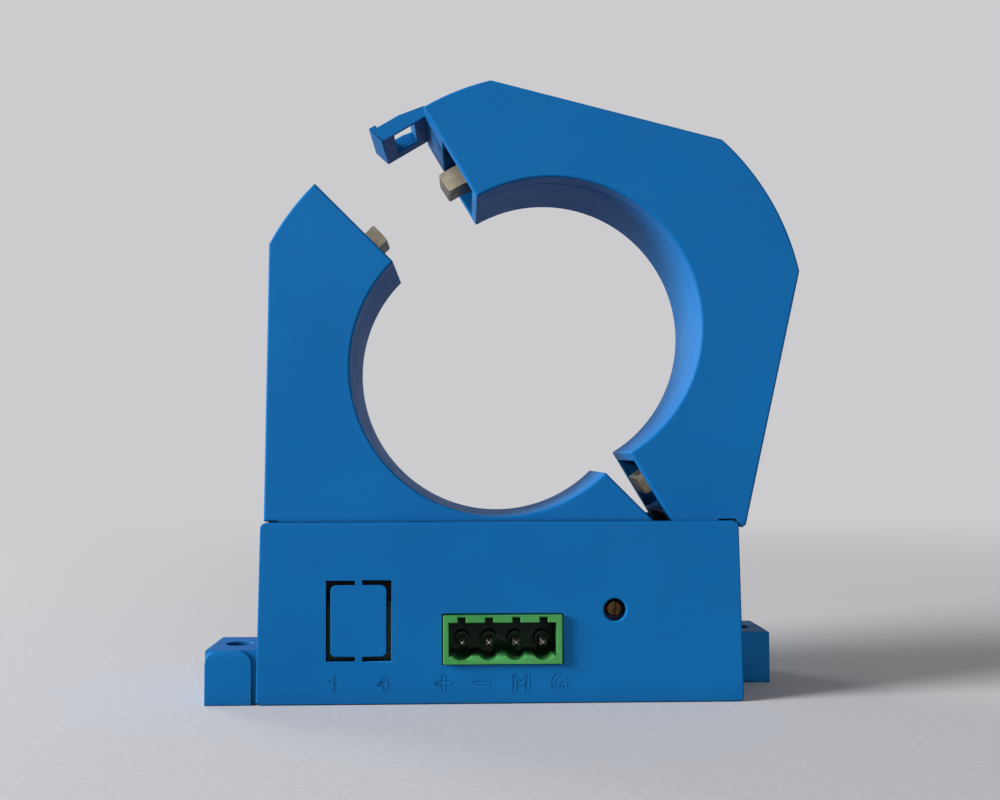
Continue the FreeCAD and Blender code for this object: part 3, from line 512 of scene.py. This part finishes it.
# collars round the pins
collar = {
    "across": 0.25 * mm,  # the middle of the four
    "pitch": 3.81 * mm,
    "up": 8.35 * mm,
    "floorDepth": -6.45 * mm,
    "tipDepth": -8.5 * mm,
    "radius": 1.15 * mm,
    "tipRadius": 1.0 * mm,
    "segments": 28,
    "rim": 0.2 * mm,
    "sunk": 0.8 * mm,
}


def makeCollar(pole):
    # it guides a pin out of the header's floor, and its end is sunk inside a rim
    c = collar
    bm = bmesh.new()
    bmesh.ops.create_cone(
        bm, cap_ends=True, segments=c["segments"], radius1=c["radius"], radius2=c["tipRadius"],
        depth=c["floorDepth"] - c["tipDepth"],
    )
    top = [face for face in bm.faces if face.normal.z > facing]
    bmesh.ops.inset_region(bm, faces=top, thickness=c["rim"], depth=0)
    top = [face for face in bm.faces if face.normal.z > facing and len(face.verts) == c["segments"]]
    sunk = bmesh.ops.extrude_discrete_faces(bm, faces=top)["faces"]
    bmesh.ops.translate(bm, vec=(0, 0, -c["sunk"]), verts=sunk[0].verts)
    across = c["across"] + (pole - (pinEdges["poles"] - 1) / 2) * c["pitch"]
    depth = (c["floorDepth"] + c["tipDepth"]) / 2
    place = Matrix.Translation((across, depth, c["up"])) @ toFront
    bmesh.ops.transform(bm, matrix=place, verts=bm.verts)
    makePiece(f"pin_collar_{pole + 1}", bm, ["green_plastic"], "base")


for pole in range(pinEdges["poles"]):
    makeCollar(pole)
print("header dressed")

# marks on the front
markFace = {
    "depth": -13.25 * mm,
    "height": 2.2 * mm,
    "capital": 0.73,  # how tall the font's digits are against its size
    "rise": 0.07 * mm,  # the lip of each stroke stands this far off the face
    "dip": 0.06 * mm,
    "slope": 0.14 * mm,
    "bold": 0.06 * mm,
    "straightUnder": math.radians(1),
    "marks": (  # letter, name, place across and up in mm, size against the digits
        ("1", "pole_one", -23.7, 3.05, 1), ("4", "pole_four", -16.5, 3.05, 1),
        ("+", "supply_plus", -8.13, 2.96, 1.5), ("\u2212", "supply_minus", -2.75, 2.96, 1.5),
        ("M", "measure", 2.72, 2.86, 1.1), ("G", "ground", 8.05, 2.96, 1.1),
    ),
    "flaggedOne": (  # corners across and up, against the digit's height
        (0.1, 0), (0.1, 1), (-0.07, 1), (-0.32, 0.8), (-0.32, 0.6), (-0.1, 0.76), (-0.1, 0),
    ),
}


def flaggedOne():
    # the font's own digit 1 is a bare bar
    bm = bmesh.new()
    tall = markFace["height"]
    corners = [bm.verts.new((across * tall, up * tall, 0)) for across, up in markFace["flaggedOne"]]
    bm.faces.new(corners)
    return bm


def letterShape(letter, name, scale):
    m = markFace
    curve = bpy.data.curves.new(name, "FONT")
    curve.body = letter
    curve.size = scale * m["height"] / m["capital"]
    curve.align_x = "CENTER"
    curve.offset = m["bold"]
    drawn = bpy.data.objects.new(name, curve)
    bpy.context.collection.objects.link(drawn)
    bpy.context.view_layer.update()
    evaluated = drawn.evaluated_get(bpy.context.evaluated_depsgraph_get())
    mesh = bpy.data.meshes.new_from_object(evaluated)
    bpy.data.objects.remove(drawn)
    bm = bmesh.new()
    bm.from_mesh(mesh)
    bmesh.ops.remove_doubles(bm, verts=bm.verts, dist=sameSpot)
    bmesh.ops.dissolve_limit(bm, angle_limit=m["straightUnder"], verts=bm.verts, edges=bm.edges)
    return bm


def makeMark(letter, name, across, up, scale):
    # a shallow trough in the shape of the letter, with a low lip round it
    m = markFace
    bm = flaggedOne() if letter == "1" else letterShape(letter, name, scale)
    bmesh.ops.inset_region(
        bm, faces=bm.faces[:], thickness=m["slope"], depth=-m["dip"], use_boundary=True
    )
    lip = [edge for edge in bm.edges if edge.is_boundary]
    wall = bmesh.ops.extrude_edge_only(bm, edges=lip)["geom"]
    foot = [corner for corner in wall if isinstance(corner, bmesh.types.BMVert)]
    bmesh.ops.translate(bm, vec=(0, 0, -2 * m["rise"]), verts=foot)
    low = min(corner.co.y for corner in bm.verts)
    high = max(corner.co.y for corner in bm.verts)
    left = min(corner.co.x for corner in bm.verts)
    right = max(corner.co.x for corner in bm.verts)
    place = (
        Matrix.Translation((across * mm, m["depth"] - m["rise"], up * mm))
        @ toFront
        @ Matrix.Translation((-(left + right) / 2, -(low + high) / 2, 0))
    )
    bmesh.ops.transform(bm, matrix=place, verts=bm.verts)
    makePiece("mark_" + name, bm, ["blue_case"], "base")


for mark in markFace["marks"]:
    makeMark(*mark)
print("marks made")

# cores
coreStack = {
    "inner": 25.4 * mm,
    "outer": 28.4 * mm,
    "uneven": 0.05 * mm,  # the sheets' rims differ by up to this
    "depthFrom": -4.35 * mm,
    "depthTo": 3.45 * mm,
    "sheets": 8,
    "gap": 0.15 * mm,
    "steps": 72,
    "startLate": (0.12, 0.3),  # degrees by which a sheet starts late in its half turn
    "turnLess": (0.3, 0.5),  # degrees by which its turn is less than half a turn
    "cornerRadius": 0.28 * mm,
    "cornerSegments": 3,
    "uprightFrom": 0.1 * mm,  # an edge that runs further back than this is a sheet's corner
    "boreUp": 47.3 * mm,
    "hinge": (27.6 * mm, 19.8 * mm),
    "halves": {  # degrees that its middle is turned by, degrees about the hinge, seed
        "fixed": (135, 1.912, 3),
        "moving": (-45, 12.168, 8),
    },
}


def makeSheet(bm, low, high, chance):
    # one lamination: its section is swept round half a turn, and its four ends' corners rounded
    c = coreStack
    inner = c["inner"] + chance.uniform(0, c["uneven"])
    outer = c["outer"] - chance.uniform(0, c["uneven"])
    section = ((inner, low, 0), (outer, low, 0), (outer, high, 0), (inner, high, 0))
    corners = [bm.verts.new(place) for place in section]
    face = bm.faces.new(corners)
    start = math.radians(-90 + chance.uniform(*c["startLate"]))
    sweep = math.radians(180 - chance.uniform(*c["turnLess"]))
    bmesh.ops.rotate(bm, cent=(0, 0, 0), matrix=Matrix.Rotation(start, 3, "Y"), verts=corners)
    last = bmesh.ops.spin(
        bm, geom=[face] + list(face.edges) + corners, cent=(0, 0, 0), axis=(0, 1, 0), angle=sweep,
        steps=c["steps"], use_duplicate=False,
    )["geom_last"]
    ends = [edge for edge in last if isinstance(edge, bmesh.types.BMEdge)] + list(face.edges)
    upright = [
        edge for edge in ends
        if abs(edge.verts[0].co.y - edge.verts[1].co.y) > c["uprightFrom"]
    ]
    bmesh.ops.bevel(
        bm, geom=upright, offset=c["cornerRadius"], offset_type="OFFSET",
        segments=c["cornerSegments"], profile=0.5, affect="EDGES", material=-1, clamp_overlap=True,
    )


def makeCore(half):
    c = coreStack
    middle, swing, seed = c["halves"][half]
    chance = random.Random(seed)
    bm = bmesh.new()
    pitch = (c["depthTo"] - c["depthFrom"]) / c["sheets"]
    for sheet in range(c["sheets"]):
        low = c["depthFrom"] + sheet * pitch + c["gap"] / 2
        makeSheet(bm, low, low + pitch - c["gap"], chance)
    bmesh.ops.recalc_face_normals(bm, faces=bm.faces)
    for face in bm.faces:
        face.material_index = 0 if abs(face.normal.y) > facing else 1
    across, up = c["hinge"]
    place = (
        Matrix.Translation((across, 0, up)) @ Matrix.Rotation(math.radians(swing), 4, "Y")
        @ Matrix.Translation((-across, 0, c["boreUp"] - up))
        @ Matrix.Rotation(math.radians(middle), 4, "Y")
    )
    bmesh.ops.transform(bm, matrix=place, verts=bm.verts)
    node = half + "_core"
    finishes = ["core_sheet", "core_edge"]
    piece = makePiece(half + "_core_sheets", bm, finishes, nodeBody[node])
    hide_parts(node)


for half in coreStack["halves"]:
    makeCore(half)
print("cores stacked")

# stage and light, in metres
studio = {
    "backdrop": linear(204, 204, 207),
    "ambient": 0.15,
    "aim": (0, 0, 0.045),
    "lamps": (  # name, place, size, power
        ("keyLight", (-1.8, -0.6, 0.66), 0.9, 74),
        ("frontLight", (0.2, -2.0, 0.4), 0.7, 13),
        ("backLight", (-1.36, 1.4, 0.48), 0.8, 14),
    ),
}
paper = {
    "size": 12.0,
    "near": 0.08,  # it fades into the backdrop from here
    "far": 0.5,
    "fibre": (900, 3),
    "deep": linear(196, 196, 199),
    "pale": linear(204, 204, 207),
    "roughness": (0.75, 0.9),
    "strength": 0.1,
    "depth": 0.1 * mm,
    "dim": (0.22, 0.22, 0.22, 1),  # what it gives back to the object from below
}


def shownRays(nodes, links):
    # 1 for a ray from the camera, and for one that gloss or glass sends on
    path = nodes.new("ShaderNodeLightPath").outputs
    shown = path["Is Camera Ray"]
    for kind in ("Is Glossy Ray", "Is Transmission Ray"):
        either = nodes.new("ShaderNodeMath")
        either.operation = "MAXIMUM"
        links.new(shown, either.inputs[0])
        links.new(path[kind], either.inputs[1])
        shown = either.outputs[0]
    return shown


def mixShaders(nodes, links, fac, first, second):
    mix = nodes.new("ShaderNodeMixShader")
    links.new(fac, mix.inputs["Fac"])
    links.new(first, mix.inputs[1])
    links.new(second, mix.inputs[2])
    return mix.outputs[0]


def makeWorld():
    world = bpy.data.worlds.new("studioWorld")
    world.use_nodes = True
    bpy.context.scene.world = world
    nodes, links = world.node_tree.nodes, world.node_tree.links
    light = nodes["Background"]
    light.inputs["Color"].default_value = (1, 1, 1, 1)
    light.inputs["Strength"].default_value = studio["ambient"]
    seen = nodes.new("ShaderNodeBackground")
    seen.inputs["Color"].default_value = studio["backdrop"]
    seen.inputs["Strength"].default_value = 1.0
    both = mixShaders(nodes, links, shownRays(nodes, links), light.outputs[0], seen.outputs[0])
    links.new(both, nodes["World Output"].inputs["Surface"])


def paperFinish():
    # pale paper that keeps the shadow near the object and fades into the backdrop further off
    p = paper
    f = Shader("studioPaper")
    fibre = f.noise(*p["fibre"])
    color = f.ramp(fibre, *noiseMiddle, p["deep"], p["pale"])
    f.finish(color, f.spread(fibre, *p["roughness"]), f.bump(fibre, p["strength"], p["depth"]))
    away = f.add("ShaderNodeVectorMath", {0: f.coordinates}, operation="LENGTH").outputs["Value"]
    fade = f.rescale(away, p["near"], p["far"], interpolation_type="SMOOTHSTEP")
    backdrop = f.add("ShaderNodeEmission", {"Color": studio["backdrop"], "Strength": 1.0})
    dim = f.add("ShaderNodeBsdfDiffuse", {"Color": p["dim"]})
    shown = shownRays(f.nodes, f.links)
    seen = mixShaders(f.nodes, f.links, fade, f.bsdf.outputs[0], backdrop.outputs[0])
    both = mixShaders(f.nodes, f.links, shown, dim.outputs[0], seen)
    f.links.new(both, f.nodes["Material Output"].inputs["Surface"])
    return f.material


def makeFloor():
    bm = bmesh.new()
    bmesh.ops.create_grid(bm, x_segments=8, y_segments=8, size=paper["size"] / 2)
    mesh = bpy.data.meshes.new("studioFloor")
    bm.to_mesh(mesh)
    bm.free()
    floor = bpy.data.objects.new("studioFloor", mesh)
    bpy.context.collection.objects.link(floor)
    mesh.materials.append(paperFinish())


def makeLamp(name, place, size, power):
    data = bpy.data.lights.new(name, "AREA")
    data.shape = "DISK"
    data.size = size
    data.energy = power
    lamp = bpy.data.objects.new(name, data)
    aim = Vector(studio["aim"]) - Vector(place)
    turn = aim.to_track_quat("-Z", "Y").to_matrix().to_4x4()
    lamp.matrix_world = Matrix.Translation(place) @ turn
    bpy.context.collection.objects.link(lamp)


makeWorld()
makeFloor()
for lamp in studio["lamps"]:
    makeLamp(*lamp)
bpy.context.scene.view_settings.view_transform = "Standard"
print("stage lit")
